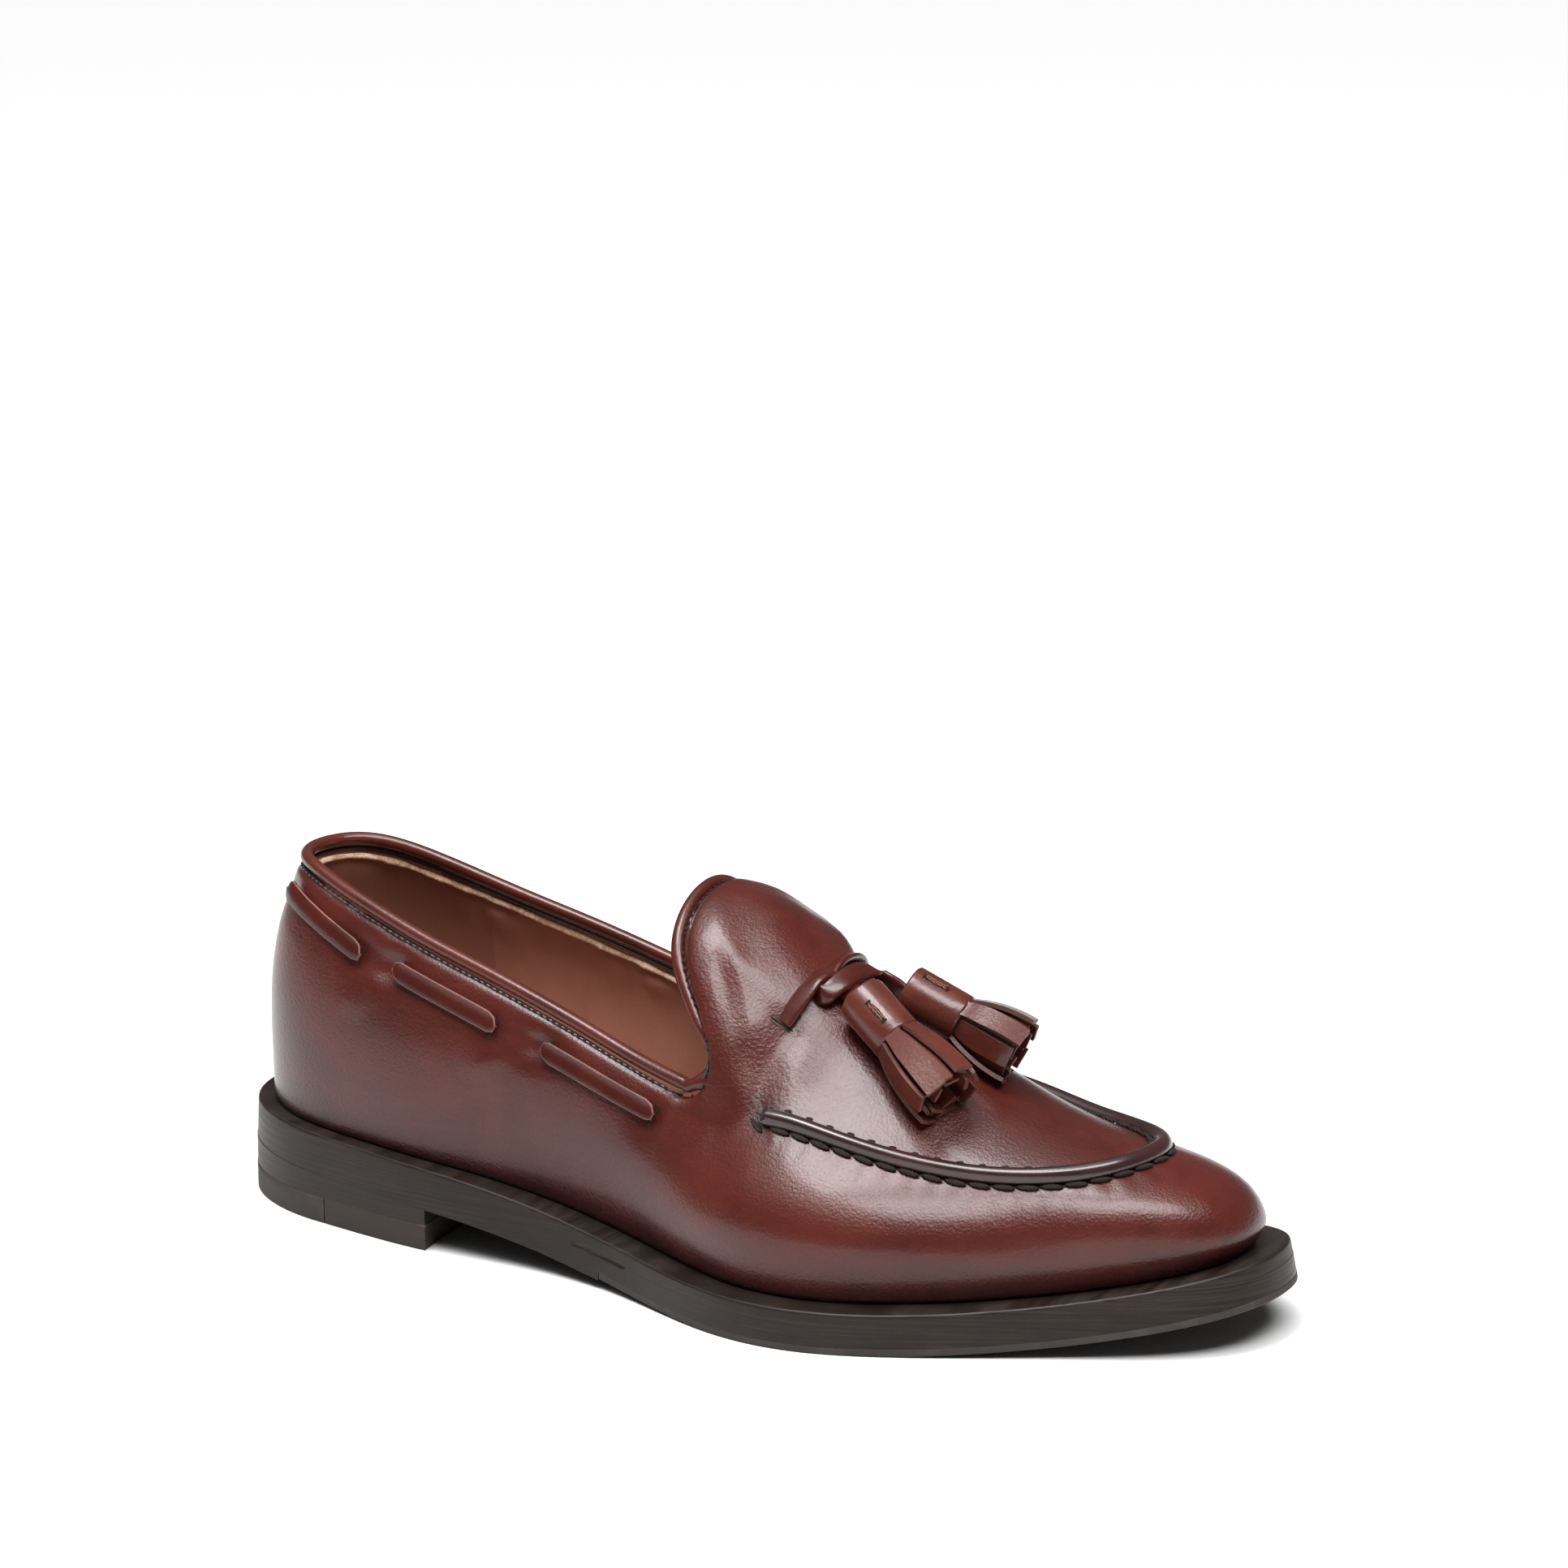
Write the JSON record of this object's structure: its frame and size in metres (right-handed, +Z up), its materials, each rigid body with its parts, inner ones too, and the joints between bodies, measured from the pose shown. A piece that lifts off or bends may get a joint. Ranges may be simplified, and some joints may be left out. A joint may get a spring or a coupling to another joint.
{
  "type": "tassel loafer",
  "caption": "Slip-on leather shoe with a tongue, a raised apron seam, a lace round the collar knotted into tassels, a welted sole and a low heel.",
  "frame": {"origin": "centre of the bounding box, on the floor under the shoe", "axes": "+Z up, +X from the heel to the toe, +Y to the inner (medial) side of the right foot"},
  "size_m": [0.302, 0.112, 0.1025],
  "materials": {
    "apron_roll": "glossy dark calf",
    "collar_piping": "glossy dark calf",
    "forefoot_rubber": "matt brown",
    "heel_stack": "polished dark brown",
    "heel_top_leather": "polished dark brown",
    "heel_top_rubber": "matt brown",
    "insole": "smooth tan",
    "lace_knot": "satin calf thong",
    "lace_lateral_back": "satin calf thong",
    "lace_lateral_front": "satin calf thong",
    "lace_lateral_middle": "satin calf thong",
    "lace_medial_back": "satin calf thong",
    "lace_medial_front": "satin calf thong",
    "lace_medial_middle": "satin calf thong",
    "outsole": "polished dark brown edge",
    "tassel_fringe_lateral": "satin calf",
    "tassel_fringe_medial": "satin calf",
    "tassel_sleeve_lateral": "glossy calf",
    "tassel_sleeve_medial": "glossy calf",
    "upper": "glossy burnished calf",
    "welt": "polished dark brown"
  },
  "bodies": {
    "root": {"apron_roll": "apron_roll", "collar_piping": "collar_piping", "forefoot_rubber": "forefoot_rubber", "heel_stack": "heel_stack", "heel_top_leather": "heel_top_leather", "heel_top_rubber": "heel_top_rubber", "insole": "insole", "lace_knot": "lace_knot", "lace_lateral_back": "lace_lateral_back", "lace_lateral_front": "lace_lateral_front", "lace_lateral_middle": "lace_lateral_middle", "lace_medial_back": "lace_medial_back", "lace_medial_front": "lace_medial_front", "lace_medial_middle": "lace_medial_middle", "outsole": "outsole", "tassel_fringe_lateral": "tassel_fringe_lateral", "tassel_fringe_medial": "tassel_fringe_medial", "tassel_sleeve_lateral": "tassel_sleeve_lateral", "tassel_sleeve_medial": "tassel_sleeve_medial", "upper": "upper", "welt": "welt"}
  },
  "joints": []
}
